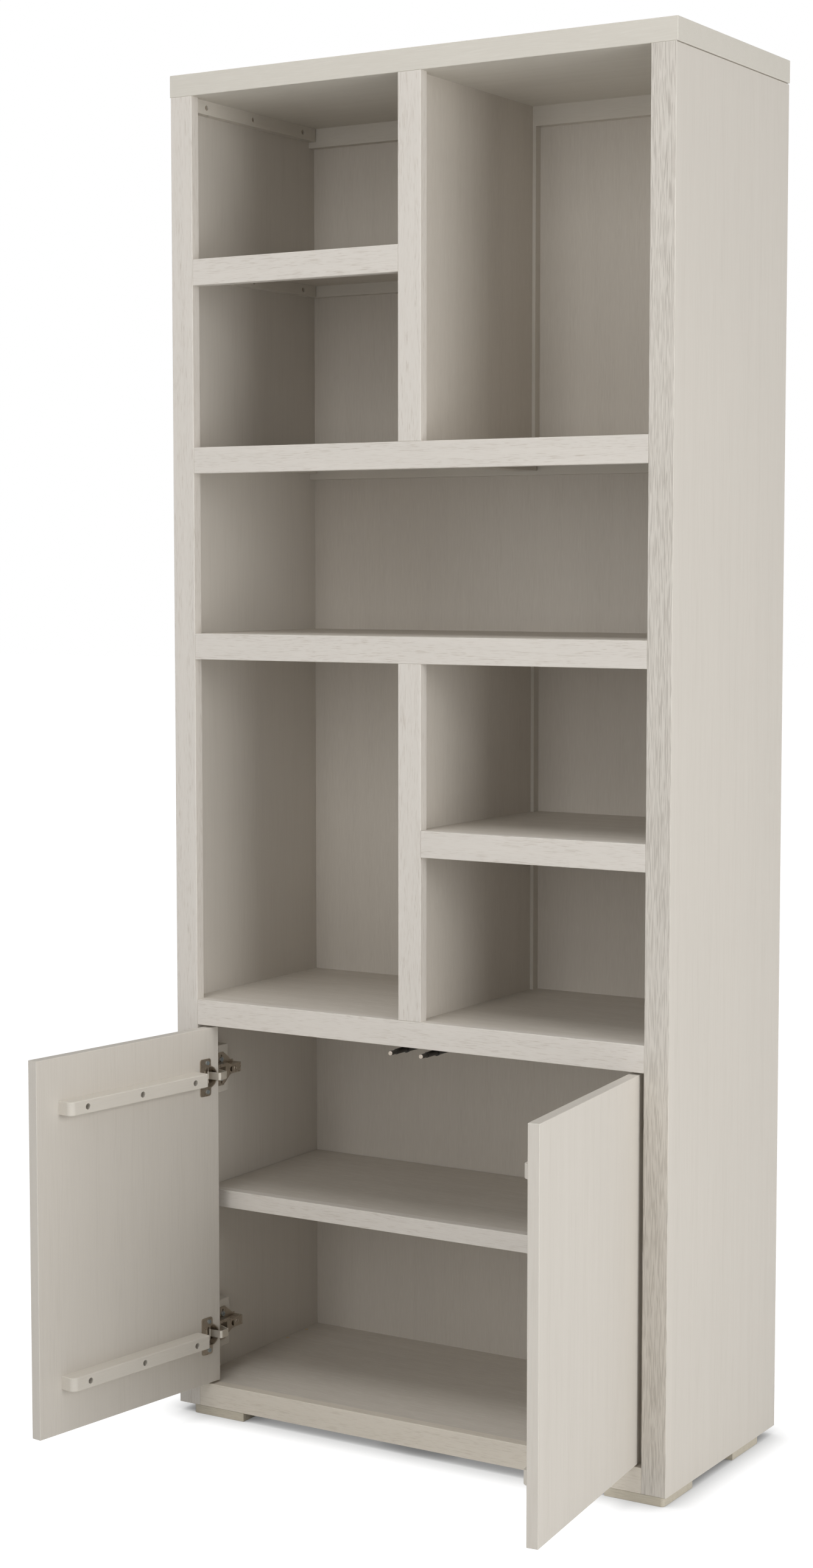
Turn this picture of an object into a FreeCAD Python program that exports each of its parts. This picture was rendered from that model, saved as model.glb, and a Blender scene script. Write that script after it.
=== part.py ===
import FreeCAD, Part
import math
import os

# Bookcase with cabinet doors, in millimetres. X runs to the right, Y to the back, Z up.
# The pieces are drawn with y = 0 at the front faces and z = 0 at the lower edge of the sides.
# At the end all of them move together, so that the origin lies on the floor under the middle
# of the whole outline, with the doors standing open as posed.

# Case
case_width = 900.0
case_depth = 403.0
side_thick = 18.0
stile_width = 41.0
front_thick = 18.0
top_thick = 35.0
top_overhang = 1.5
seam_height = 1.6
seam_depth = 3.0
back_thick = 8.0
back_inset = 4.0
arris = 1.0

# Levels
rail_height = 40.0
door_opening = 602.0
lipping_height = 42.0
shelf_opening = 259.0

# Shelves, cleats and dividers
shelf_thick = 9.0
cleat_width = 15.0
half_cleat_height = 19.0
side_cleat_height = 22.0
back_cleat_height = 32.0
back_cleat_depth = 16.0
cleat_end_gap = 2.0
batten_width = 40.0
batten_height = 25.0
divider_stile_width = 41.0
divider_thick = 18.0
divider_post_width = 30.0

# Base
bottom_thick = 18.0
bearer_width = 40.0
foot_size = 100.0
foot_height = 14.0
foot_round = 6.0
foot_left_inset = 29.0
foot_right_inset = 3.0
foot_rear_inset = 56.0

# Cabinet shelf
loose_shelf_top = 356.7
loose_shelf_front = 49.0
loose_shelf_thick = 18.0
loose_lipping_height = 29.0
loose_shelf_gap = 1.5
pin_radius = 2.5
pin_reach = 9.0
pin_depth = 9.0
pin_collar_radius = 4.2
pin_collar_thick = 1.2
pin_front_inset = 51.0
pin_rear_inset = 52.0

# Doors
door_thick = 18.0
door_side_gap = 3.0
door_centre_gap = 3.0
door_end_gap = 3.3
left_open_angle = 98.0
right_open_angle = 96.0
axis_from_edge = 13.0
axis_from_face = 7.0
door_batten_height = 22.0
door_batten_thick = 27.0
door_batten_length = 306.5
door_batten_start = 51.5
door_batten_end_round = 10.0
door_batten_hinge_round = 3.0
door_batten_arris = 1.5
batten_top_inset = 79.3
batten_bottom_inset = 81.0

# Hinge cup
hinge_top_inset = 81.0
hinge_bottom_inset = 81.0
cup_from_edge = 23.3
cup_radius = 17.4
cup_wall = 1.1
cup_depth = 14.0
cup_floor = 0.8
cup_fit = 0.1
flange_thick = 2.0
flange_radius = 18.2
flange_width = 24.2
flange_screw_margin = 7.0
flange_start = 20.0
flange_corner = 4.0
flange_screw_from_edge = 27.9
flange_screw_spacing = 48.0

# Hinge link, measured from the door axis, where the pin in the cup stands
link_thick = 1.8
link_height = 12.2
link_run_x = 23.8
link_bend = 3.0
link_run_end_y = 18.0
link_pin_x = -4.0
link_pin_y = 30.5
link_eye_radius = 3.4
cup_eye_radius = 1.9
cup_pin_radius = 1.0
cup_pin_seat = 0.5
hinge_pin_radius = 1.5
running_fit = 0.06

# Hinge arm and mounting plate
arm_wall = 1.5
arm_nose_radius = 4.5
arm_front_reach = 12.5
arm_rear_reach = 8.0
arm_length = 62.5
arm_taper_start = 24.0
arm_taper_end = 34.0
arm_foot_gap = 1.0
arm_window_length = 19.0
arm_window_gap = 1.0
arm_slot_radius = 4.4
arm_slot_flat = 1.8
arm_slot_from_pin = 35.5
arm_slot_depth = 5.0
adjuster_from_pin = 47.5
plate_thick = 2.0
plate_wing_reach = 28.0
plate_body_reach = 12.0
plate_start = 44.0
plate_wing_end = 70.0
plate_slope_end = 92.0
plate_end = 98.0
saddle_start = 59.0
saddle_end = 97.0
saddle_height = 11.0
plate_screw_y = 64.0
plate_spare_radius = 2.0
plate_spare_offset = 6.4
plate_spare_depth = 8.0
plate_screw_spacing = 32.0
block_length = 67.6
block_height = 80.0

# Push latches
latch_from_centre = 28.0
latch_drop = 9.7
latch_stroke = 31.2
latch_touch_gap = 0.7
tip_radius = 3.3
tip_thick = 2.0
tip_stem_radius = 1.5
tip_stem_length = 4.0
plunger_nose_radius = 3.5
plunger_nose_length = 16.5
plunger_radius = 4.4
plunger_length = 64.0
plunger_gap = 0.3
housing_wall = 1.0
housing_start = 36.0
housing_length = 70.0
housing_end = 2.0
collar_extra = 0.6
collar_length = 4.0
latch_plate_width = 24.0
latch_plate_length = 62.0
latch_plate_thick = 2.5
latch_plate_start = 19.0
latch_web_width = 6.0
latch_web_start = 42.0
latch_screw_offset = 8.5
latch_screw_front = 26.0
latch_screw_rear = 58.0
latch_block_width = 110.0
latch_block_depth = 72.0

# Screws: head radius, head height, shank radius and bite into the wood behind
cleat_screw = (3.7, 2.0, 1.7)
cleat_recess_radius = 4.1
cleat_recess_depth = 4.0
cleat_bite = 10.0
cleat_screw_inset = 35.0
cleat_screw_rear_inset = 39.0
cleat_middle_lead = 7.8
top_screw_stagger = 9.5
flange_screw = (3.5, 1.6, 1.6)
flange_bite = 10.0
batten_screw = (3.6, 2.0, 1.7)
batten_recess_radius = 4.9
batten_recess_depth = 19.0
batten_bite = 12.0
batten_screw_inset = 30.3
batten_screw_tail = 36.6
batten_screw_count = 3
plate_screw = (4.0, 2.0, 1.8)
plate_bite = 14.0
adjuster_screw = (3.4, 1.5, 1.9)
adjuster_bite = 8.0
latch_screw = (2.6, 1.5, 1.3)
latch_bite = 10.0
screw_fit = 0.05
recess_share = 0.6
diagonal_share = math.sqrt(0.5)
recess_width_share = 0.32
recess_reach_share = 0.7

# Cuts run on past the wood by this much
overrun = 5.0

# Positions that follow from the sizes
half_width = case_width / 2
side_inner = half_width - side_thick
stile_inner = half_width - stile_width
back_front = case_depth - back_inset - back_thick
cleat_front = back_front - back_cleat_depth
cleat_end = cleat_front - cleat_end_gap
cabinet_top_level = rail_height + door_opening
level_pitch = lipping_height + shelf_opening
lower_half_level = cabinet_top_level + level_pitch
middle_level = lower_half_level + level_pitch
upper_full_level = middle_level + level_pitch
upper_half_level = upper_full_level + level_pitch
side_height = upper_half_level + level_pitch
half_divider = divider_thick / 2
half_post = divider_post_width / 2
half_divider_stile = divider_stile_width / 2
door_width = stile_inner - door_side_gap - door_centre_gap / 2
door_bottom = rail_height + door_end_gap
door_top = cabinet_top_level - door_end_gap
door_edge_x = -(stile_inner - door_side_gap)
axis_x = door_edge_x + axis_from_edge
flange_length = flange_screw_spacing + flange_screw_margin * 2
batten_screw_run = door_batten_length - batten_screw_inset - batten_screw_tail
batten_screw_pitch = batten_screw_run / (batten_screw_count - 1)
hinge_levels = (door_bottom + hinge_bottom_inset, door_top - hinge_top_inset)
batten_levels = (door_bottom + batten_bottom_inset, door_top - batten_top_inset)
pin_x = axis_x + link_pin_x
pin_y = axis_from_face + link_pin_y
arm_face = pin_x + arm_nose_radius
arm_end = pin_y + arm_length
plate_face = -stile_inner + plate_thick
adjuster_y = pin_y + adjuster_from_pin
slot_y = pin_y + arm_slot_from_pin
latch_level = cabinet_top_level - latch_drop
tip_front = door_thick + latch_touch_gap - latch_stroke
plunger_front = tip_front + tip_thick
loose_shelf_under = loose_shelf_top - loose_shelf_thick

X_AXIS = FreeCAD.Vector(1, 0, 0)
Y_AXIS = FreeCAD.Vector(0, 1, 0)
Z_AXIS = FreeCAD.Vector(0, 0, 1)
ORIGIN = FreeCAD.Vector(0, 0, 0)


def block(x0, x1, y0, y1, z0, z1):
    """A plain rectangular piece between two corners."""
    return Part.makeBox(x1 - x0, y1 - y0, z1 - z0, FreeCAD.Vector(x0, y0, z0))


def board(x0, x1, y0, y1, z0, z1):
    """A rectangular piece with all its edges eased."""
    piece = block(x0, x1, y0, y1, z0, z1)
    return piece.makeFillet(arris, piece.Edges)


def front_board(x0, x1, y0, y1, z0, z1):
    """A rectangular piece with the edges of its front face eased."""
    piece = block(x0, x1, y0, y1, z0, z1)
    return piece.makeFillet(arris, [e for e in piece.Edges if e.BoundBox.YMax < (y0 + y1) / 2])


def rod(start, direction, radius, length):
    """A round bar from a point along a direction."""
    return Part.makeCylinder(radius, length, start, direction)


def outline(points, direction, length):
    """A prism from a closed row of points."""
    face = Part.Face(Part.makePolygon(points + points[:1]))
    return face.extrude(direction * length)


def mirrored(shape):
    """The same piece on the other side of the middle."""
    return shape.mirror(ORIGIN, X_AXIS)


def both_sides(shape):
    """A left piece and its right counterpart."""
    return [shape, mirrored(shape)]


def turned(shape, x, y, angle):
    """The piece turned about an upright axis."""
    return shape.rotated(FreeCAD.Vector(x, y, 0), Z_AXIS, angle)


def aimed(shape, seat, direction):
    """A piece drawn along Z, put at a point and aimed along a direction."""
    shape.Placement = FreeCAD.Placement(seat, FreeCAD.Rotation(Z_AXIS, direction))
    return shape


def screw(seat, direction, sizes, length):
    """A screw with a cross recess. The head stands behind the seat, the shank runs along the direction."""
    head_radius, head_height, shank_radius = sizes
    head = rod(FreeCAD.Vector(0, 0, -head_height), Z_AXIS, head_radius, head_height)
    body = head.fuse(rod(ORIGIN, Z_AXIS, shank_radius, length)).removeSplitter()
    reach = head_radius * recess_reach_share
    half = head_radius * recess_width_share / 2
    depth = head_height * (1 - recess_share)
    arm_one = block(-reach, reach, -half, half, -head_height - overrun, -depth)
    arm_two = block(-half, half, -reach, reach, -head_height - overrun, -depth)
    body = body.cut(arm_one.fuse(arm_two))
    return aimed(body, seat, direction)


def screw_hole(seat, direction, sizes, length):
    """The hole for the shank of a screw."""
    hole = rod(ORIGIN, Z_AXIS, sizes[2] + screw_fit, length + screw_fit)
    return aimed(hole, seat, direction)


def recess(seat, direction, radius):
    """The round pocket that a screw head sits in."""
    return aimed(rod(FreeCAD.Vector(0, 0, -overrun - cleat_recess_depth), Z_AXIS, radius,
                     overrun + cleat_recess_depth), seat, direction)


def drilled(piece, holes):
    """A piece less a list of holes."""
    return piece.cut(Part.makeCompound(holes)) if holes else piece


def cleat_stations():
    """How far back the screws of a side cleat stand."""
    first = front_thick + cleat_screw_inset
    last = cleat_end - cleat_screw_rear_inset
    return (first, (first + last) / 2 - cleat_middle_lead, last)


def side_cleat(wall_x, side, top, height):
    """A cleat on an upright wall, with recesses, and its screws and their holes in the wall."""
    inner_x = wall_x - side * cleat_width
    low_x = min(wall_x, inner_x)
    piece = block(low_x, low_x + cleat_width, front_thick, cleat_end, top - height, top)
    into_wall = X_AXIS * side
    screws = []
    holes = []
    for y in cleat_stations():
        seat = FreeCAD.Vector(inner_x + side * cleat_recess_depth, y, top - height / 2)
        length = cleat_width - cleat_recess_depth + min(cleat_bite, side_thick / 2)
        hole = screw_hole(seat, into_wall, cleat_screw, length)
        screws.append(screw(seat, into_wall, cleat_screw, length))
        holes.append(hole)
        piece = drilled(piece, [hole, recess(seat, into_wall, cleat_recess_radius)])
    return piece, screws, holes


def back_cleat(x0, x1, top, height):
    """A cleat along the back panel."""
    return block(x0, x1, cleat_front, back_front, top - height, top)


def lipping(x0, x1, level):
    """The front edge of a shelf."""
    return front_board(x0, x1, 0, front_thick, level, level + lipping_height)


def shelf_underside(level):
    """Where the cleats meet the thin panel."""
    return level + lipping_height - shelf_thick


def shelf_panel(x0, x1, level):
    """The thin panel of a shelf, flush with the top of its lipping."""
    return block(x0, x1, front_thick, back_front, shelf_underside(level), level + lipping_height)


def full_shelf(level):
    """A shelf across the whole case: panel, lipping, cleats, screws and holes in the sides."""
    under = shelf_underside(level)
    panel = shelf_panel(-side_inner, side_inner, level)
    edge = lipping(-stile_inner, stile_inner, level)
    left, left_screws, left_holes = side_cleat(-side_inner, -1, under, side_cleat_height)
    right, right_screws, right_holes = side_cleat(side_inner, 1, under, side_cleat_height)
    rear = back_cleat(-side_inner, side_inner, under, back_cleat_height)
    return panel, edge, [left, right, rear], left_screws + right_screws, left_holes, right_holes


def half_shelf(level, side):
    """A shelf from one side to a divider, notched round the divider's rear post."""
    under = shelf_underside(level)
    wall = side * side_inner
    near = side * half_divider
    panel = shelf_panel(min(wall, near), max(wall, near), level)
    notch = block(-half_post, half_post, cleat_front, back_front + overrun, under - overrun,
                  level + lipping_height + overrun)
    panel = panel.cut(notch)
    edge_ends = sorted((side * stile_inner, side * half_divider_stile))
    edge = lipping(edge_ends[0], edge_ends[1], level)
    outer, outer_screws, outer_holes = side_cleat(wall, side, under, half_cleat_height)
    inner, inner_screws, inner_holes = side_cleat(near, -side, under, half_cleat_height)
    rear_ends = sorted((wall, side * half_post))
    rear = back_cleat(rear_ends[0], rear_ends[1], under, half_cleat_height)
    return panel, edge, [outer, inner, rear], outer_screws + inner_screws, outer_holes, inner_holes


def centre_batten(level, front):
    """A batten from front to back under the middle of a shelf."""
    half = batten_width / 2
    under = shelf_underside(level)
    return block(-half, half, front, cleat_end, under - batten_height, under)


def divider(bottom, stile_top, panel_top, post_top):
    """An upright divider: front stile, panel and rear post."""
    stile = front_board(-half_divider_stile, half_divider_stile, 0, front_thick, bottom, stile_top)
    panel = block(-half_divider, half_divider, front_thick, cleat_front, bottom, panel_top)
    post = block(-half_post, half_post, cleat_front, back_front, bottom, post_top)
    return stile, panel, post


def top_side_cleat(side):
    """A cleat under the top board, screwed to the side and to the top."""
    piece, screws, holes = side_cleat(side * side_inner, side, side_height, side_cleat_height)
    top_holes = []
    x = side * (side_inner - cleat_width / 2)
    for y in cleat_stations():
        seat = FreeCAD.Vector(x, y + top_screw_stagger, side_height - side_cleat_height + cleat_recess_depth)
        length = side_cleat_height - cleat_recess_depth + min(cleat_bite, top_thick / 2)
        hole = screw_hole(seat, Z_AXIS, cleat_screw, length)
        screws.append(screw(seat, Z_AXIS, cleat_screw, length))
        top_holes.append(hole)
        piece = drilled(piece, [hole, recess(seat, Z_AXIS, cleat_recess_radius)])
    return piece, screws, holes, top_holes


def shelf_pins():
    """Pins that carry the cabinet shelf, and the holes they sit in."""
    pins = []
    holes = []
    level = loose_shelf_under - pin_radius
    for y in (loose_shelf_front + pin_front_inset, back_front - pin_rear_inset):
        start = FreeCAD.Vector(-side_inner - pin_depth, y, level)
        collar_start = FreeCAD.Vector(-side_inner, y, level)
        peg = rod(start, X_AXIS, pin_radius, pin_depth + pin_reach)
        collar = rod(collar_start, X_AXIS, pin_collar_radius, pin_collar_thick)
        hole = rod(start, X_AXIS, pin_radius + screw_fit, pin_depth + overrun)
        pins += both_sides(peg.fuse(collar).removeSplitter())
        holes.append(hole)
    return pins, holes


def feet():
    """Square feet, each with its outer corner rounded, set in unevenly from the two sides."""
    pieces = []
    case_centre = FreeCAD.Vector(0, case_depth / 2, 0)
    left_x = -half_width + foot_left_inset
    right_x = half_width - foot_right_inset - foot_size
    rear_y = case_depth - foot_rear_inset - foot_size
    for x in (left_x, right_x):
        for y in (0, rear_y):
            piece = block(x, x + foot_size, y, y + foot_size, -foot_height, 0)
            uprights = [e for e in piece.Edges if abs(e.tangentAt(0).z) == 1]
            uprights.sort(key=lambda e: (e.CenterOfMass - case_centre).Length)
            piece = piece.makeFillet(foot_round, uprights[-1:])
            low_edges = [e for e in piece.Edges if e.BoundBox.ZMax < arris - foot_height]
            pieces.append(piece.makeFillet(arris, low_edges))
    return pieces


def base_bearers():
    """Bearers under the bottom panel."""
    top = rail_height - bottom_thick
    side = block(-side_inner, -side_inner + bearer_width, front_thick, back_front, 0, top)
    middle = block(-bearer_width / 2, bearer_width / 2, front_thick, back_front, 0, top)
    return both_sides(side) + [middle]


def flange_seats(level):
    """Where the two screws of a hinge cup sit, with the door closed."""
    x = door_edge_x + flange_screw_from_edge
    y = door_thick + flange_thick
    half = flange_screw_spacing / 2
    return [FreeCAD.Vector(x, y, level - half), FreeCAD.Vector(x, y, level + half)]


def cup_pin_half():
    """Half the length of the pin across a cup, let into the wall at both ends."""
    aside = cup_from_edge - axis_from_edge
    return math.sqrt((cup_radius - cup_wall) ** 2 - aside ** 2) + cup_pin_seat


def cup_pin(level, extra):
    """The pin that a cup turns on, on the door axis, with the door closed."""
    half = cup_pin_half()
    start = FreeCAD.Vector(axis_x, axis_from_face, level - half - extra)
    return rod(start, Z_AXIS, cup_pin_radius + extra, (half + extra) * 2)


def hinge_cup(level):
    """The cup of a hinge with its flange, with the door closed."""
    x = door_edge_x + cup_from_edge
    bottom = FreeCAD.Vector(x, door_thick - cup_depth, level)
    face = FreeCAD.Vector(x, door_thick, level)
    cup = rod(bottom, Y_AXIS, cup_radius, cup_depth)
    ring = rod(face, Y_AXIS, flange_radius, flange_thick)
    plate = block(door_edge_x + flange_start, door_edge_x + flange_start + flange_width, door_thick,
                  door_thick + flange_thick, level - flange_length / 2, level + flange_length / 2)
    plate = plate.makeFillet(flange_corner, [e for e in plate.Edges if abs(e.tangentAt(0).y) == 1])
    hollow_start = bottom + Y_AXIS * cup_floor
    hollow = rod(hollow_start, Y_AXIS, cup_radius - cup_wall, cup_depth + overrun)
    shape = cup.fuse([ring, plate]).removeSplitter().cut(hollow)
    holes = [screw_hole(seat, -Y_AXIS, flange_screw, flange_thick + flange_bite)
             for seat in flange_seats(level)]
    holes.append(cup_pin(level, screw_fit))
    return drilled(shape, holes)


def cup_bore(level):
    """The hole in the door for a hinge cup."""
    start = FreeCAD.Vector(door_edge_x + cup_from_edge, door_thick - cup_depth, level)
    return rod(start, Y_AXIS, cup_radius + cup_fit, cup_depth + overrun)


def batten_seats(level):
    """Where the screws of a door batten sit, with the door closed."""
    first = door_edge_x + door_batten_start + batten_screw_inset
    y = door_thick + door_batten_thick - batten_recess_depth
    return [FreeCAD.Vector(first + batten_screw_pitch * step, y, level) for step in range(batten_screw_count)]


def batten_screw_length():
    """Length of the shank that holds a door batten."""
    return door_batten_thick - batten_recess_depth + batten_bite


def door_batten(level):
    """A batten on the inside of a door, with deep screw holes, with the door closed."""
    x0 = door_edge_x + door_batten_start
    half = door_batten_height / 2
    piece = block(x0, x0 + door_batten_length, door_thick, door_thick + door_batten_thick,
                  level - half, level + half)
    rear = door_thick + door_batten_thick
    ends = [e for e in piece.Edges if e.BoundBox.YMin > rear - arris and abs(e.tangentAt(0).z) == 1]
    ends.sort(key=lambda e: e.CenterOfMass.x)
    piece = piece.makeFillet(door_batten_end_round, ends[1:])
    ends = [e for e in piece.Edges if e.BoundBox.XMax < x0 + arris and e.BoundBox.YMin > rear - arris]
    piece = piece.makeFillet(door_batten_hinge_round, ends)
    rear_edges = [e for e in piece.Edges if e.BoundBox.YMin > rear - door_batten_arris]
    piece = piece.makeFillet(door_batten_arris, rear_edges)
    for seat in batten_seats(level):
        pocket = rod(seat, Y_AXIS, batten_recess_radius, batten_recess_depth + overrun)
        hole = screw_hole(seat, -Y_AXIS, batten_screw, batten_screw_length())
        piece = drilled(piece, [pocket, hole])
    return piece


def closed_door():
    """The left door in its closed place: panel, battens, cups, cup pins and screws."""
    panel = board(door_edge_x, door_edge_x + door_width, 0, door_thick, door_bottom, door_top)
    battens = [door_batten(level) for level in batten_levels]
    cups = [hinge_cup(level) for level in hinge_levels]
    pins = [cup_pin(level, 0) for level in hinge_levels]
    holes = [cup_bore(level) for level in hinge_levels]
    screws = []
    for level in hinge_levels:
        for seat in flange_seats(level):
            screws.append(screw(seat, -Y_AXIS, flange_screw, flange_thick + flange_bite))
            holes.append(screw_hole(seat, -Y_AXIS, flange_screw, flange_thick + flange_bite))
    for level in batten_levels:
        for seat in batten_seats(level):
            screws.append(screw(seat, -Y_AXIS, batten_screw, batten_screw_length()))
            holes.append(screw_hole(seat, -Y_AXIS, batten_screw, batten_screw_length()))
    return drilled(panel, holes), battens, cups, pins, screws


def opened(shapes, side, angle):
    """Left pieces put on one side of the case and turned open about that door's axis."""
    pieces = shapes if side < 0 else [mirrored(s) for s in shapes]
    return [turned(s, -side * axis_x, axis_from_face, side * angle) for s in pieces]


def hinge_link(level):
    """The bent strap on which a cup turns, held in the arm by its rear pin."""
    low = level - link_height / 2
    start = FreeCAD.Vector(axis_x, axis_from_face, low)
    bend_start = start + X_AXIS * (link_run_x - link_bend)
    bend_centre = bend_start + Y_AXIS * link_bend
    slant = diagonal_share * link_bend
    bend_middle = bend_centre + FreeCAD.Vector(slant, -slant, 0)
    bend_end = bend_centre + X_AXIS * link_bend
    run_end = start + FreeCAD.Vector(link_run_x, link_run_end_y, 0)
    pin = FreeCAD.Vector(pin_x, pin_y, low)
    path = Part.Wire([Part.makeLine(start, bend_start), Part.Arc(bend_start, bend_middle, bend_end).toShape(),
                      Part.makeLine(bend_end, run_end), Part.makeLine(run_end, pin)])
    strap = Part.Face(path.makeOffset2D(link_thick / 2)).extrude(Z_AXIS * link_height)
    rear_eye = rod(pin, Z_AXIS, link_eye_radius, link_height)
    cup_eye = rod(start, Z_AXIS, cup_eye_radius, link_height)
    rear_bore = rod(pin - Z_AXIS * overrun, Z_AXIS, hinge_pin_radius + screw_fit, link_height + overrun * 2)
    cup_bore_radius = cup_pin_radius + running_fit
    front_bore = rod(start - Z_AXIS * overrun, Z_AXIS, cup_bore_radius, link_height + overrun * 2)
    return drilled(strap.fuse([rear_eye, cup_eye]).removeSplitter(), [rear_bore, front_bore])


def hinge_pin(level):
    """The rear pin through an arm and its link."""
    start = FreeCAD.Vector(pin_x, pin_y, level - arm_front_reach)
    return rod(start, Z_AXIS, hinge_pin_radius, arm_front_reach * 2)


def arm_profile(level, inset, front):
    """The outline of an arm seen from the side, drawn in by an inset, from a front line to its rear end."""
    taper_start = pin_y + arm_taper_start - inset
    taper_end = pin_y + arm_taper_end - inset
    half = [(front, arm_front_reach - inset), (taper_start, arm_front_reach - inset),
            (taper_end, arm_rear_reach - inset), (arm_end - inset, arm_rear_reach - inset)]
    corners = half + [(y, -z) for y, z in reversed(half)]
    return [FreeCAD.Vector(plate_face + arm_foot_gap, y, level + z) for y, z in corners]


def hinge_arm(level):
    """The pressed channel that holds a link by its pin, open to the front for the link."""
    depth = arm_face - plate_face - arm_foot_gap
    front = pin_y - arm_nose_radius
    outside = outline(arm_profile(level, 0, front), X_AXIS, depth)
    inside = outline(arm_profile(level, arm_wall, front - overrun), X_AXIS, depth - arm_wall)
    noses = [e for e in outside.Edges if abs(e.tangentAt(0).z) == 1 and e.CenterOfMass.y == front]
    outside = outside.makeFillet(arm_nose_radius - arris, noses)
    half = link_height / 2 + arm_window_gap
    window = block(arm_face - arm_wall - overrun, arm_face + overrun,
                   front - overrun, pin_y + arm_window_length, level - half, level + half)
    pin_hole = rod(FreeCAD.Vector(pin_x, pin_y, level - arm_front_reach - overrun), Z_AXIS,
                   hinge_pin_radius + screw_fit, (arm_front_reach + overrun) * 2)
    holes = [window, pin_hole, arm_slot(level, arm_wall + overrun), adjuster_hole(level)]
    return drilled(outside.cut(inside), holes)


def arm_slot(level, depth):
    """The D-shaped opening in an arm, cut in from its face."""
    start = FreeCAD.Vector(arm_face + overrun, slot_y, level)
    round_part = rod(start, -X_AXIS, arm_slot_radius, depth + overrun)
    flat = block(arm_face - depth - overrun, arm_face + overrun * 2, slot_y + arm_slot_flat,
                 slot_y + arm_slot_radius + overrun, level - arm_slot_radius, level + arm_slot_radius)
    return round_part.cut(flat)


def adjuster_hole(level):
    """The round hole in an arm for the head of the adjusting screw."""
    radius = adjuster_screw[0] + screw_fit
    start = FreeCAD.Vector(arm_face - arm_wall - screw_fit, adjuster_y, level)
    return rod(start, X_AXIS, radius, arm_wall + overrun)


def hinge_plate(level):
    """The plate on a packing block, with the saddle that the arm sits on."""
    half = [(plate_start, plate_wing_reach), (plate_wing_end, plate_wing_reach),
            (plate_slope_end, plate_body_reach), (plate_end, plate_body_reach)]
    corners = half + [(y, -z) for y, z in reversed(half)]
    points = [FreeCAD.Vector(-stile_inner, y, level + z) for y, z in corners]
    saddle = block(plate_face, arm_face - arm_wall, saddle_start, saddle_end,
                   level - saddle_height / 2, level + saddle_height / 2)
    plate = outline(points, X_AXIS, plate_thick).fuse(saddle).removeSplitter()
    holes = [screw_hole(seat, -X_AXIS, plate_screw, plate_thick + plate_bite) for seat in plate_seats(level)]
    holes.append(screw_hole(adjuster_seat(level), -X_AXIS, adjuster_screw, adjuster_bite))
    holes.append(arm_slot(level, arm_wall + arm_slot_depth))
    return drilled(plate, holes + plate_spares(level))


def plate_spares(level):
    """The spare holes beyond the plate screws, run on into the block behind."""
    offset = plate_screw_spacing / 2 + plate_spare_offset
    starts = [FreeCAD.Vector(plate_face + overrun, plate_screw_y, level + z) for z in (-offset, offset)]
    length = overrun + plate_thick + plate_spare_depth
    return [rod(start, -X_AXIS, plate_spare_radius, length) for start in starts]


def plate_seats(level):
    """Where the screws of a mounting plate sit."""
    half = plate_screw_spacing / 2
    return [FreeCAD.Vector(plate_face, plate_screw_y, level + z) for z in (-half, half)]


def adjuster_seat(level):
    """Where the head of the adjusting screw meets the saddle."""
    return FreeCAD.Vector(arm_face - arm_wall, adjuster_y, level)


def hinge_block(level):
    """The wooden packing block behind the stile, drilled for the plate screws."""
    half = block_height / 2
    piece = board(-side_inner, -stile_inner, front_thick, front_thick + block_length,
                  level - half, level + half)
    holes = [screw_hole(seat, -X_AXIS, plate_screw, plate_thick + plate_bite) for seat in plate_seats(level)]
    return drilled(piece, holes + plate_spares(level))


def hinge_screws(level):
    """The plate screws and the adjusting screw of one hinge."""
    shapes = [screw(seat, -X_AXIS, plate_screw, plate_thick + plate_bite) for seat in plate_seats(level)]
    shapes.append(screw(adjuster_seat(level), -X_AXIS, adjuster_screw, adjuster_bite))
    return shapes


def hinge_row(maker):
    """One kind of hinge piece at every level, on both sides."""
    pieces = []
    for level in hinge_levels:
        made = maker(level)
        for shape in made if isinstance(made, list) else [made]:
            pieces += both_sides(shape)
    return pieces


def latch_seats():
    """Where the screws of the left latch sit."""
    level = cabinet_top_level - latch_plate_thick
    return [FreeCAD.Vector(-latch_from_centre - latch_screw_offset, latch_screw_front, level),
            FreeCAD.Vector(-latch_from_centre + latch_screw_offset, latch_screw_rear, level)]


def latch_holes():
    """Holes for the screws of the left latch."""
    return [screw_hole(seat, Z_AXIS, latch_screw, latch_plate_thick + latch_bite) for seat in latch_seats()]


def latch_housing():
    """The left latch's tube with the plate that holds it."""
    x = -latch_from_centre
    bore_radius = plunger_radius + plunger_gap
    radius = bore_radius + housing_wall
    start = FreeCAD.Vector(x, housing_start, latch_level)
    tube = rod(start, Y_AXIS, radius, housing_length)
    collar = rod(start, Y_AXIS, radius + collar_extra, collar_length)
    plate = block(x - latch_plate_width / 2, x + latch_plate_width / 2,
                  latch_plate_start, latch_plate_start + latch_plate_length,
                  cabinet_top_level - latch_plate_thick, cabinet_top_level)
    web = block(x - latch_web_width / 2, x + latch_web_width / 2, latch_web_start,
                latch_plate_start + latch_plate_length, latch_level, cabinet_top_level - latch_plate_thick)
    bore = rod(start - Y_AXIS * overrun, Y_AXIS, bore_radius, housing_length - housing_end + overrun)
    shape = tube.fuse([collar, plate, web]).removeSplitter().cut(bore)
    return drilled(shape, latch_holes())


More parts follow.
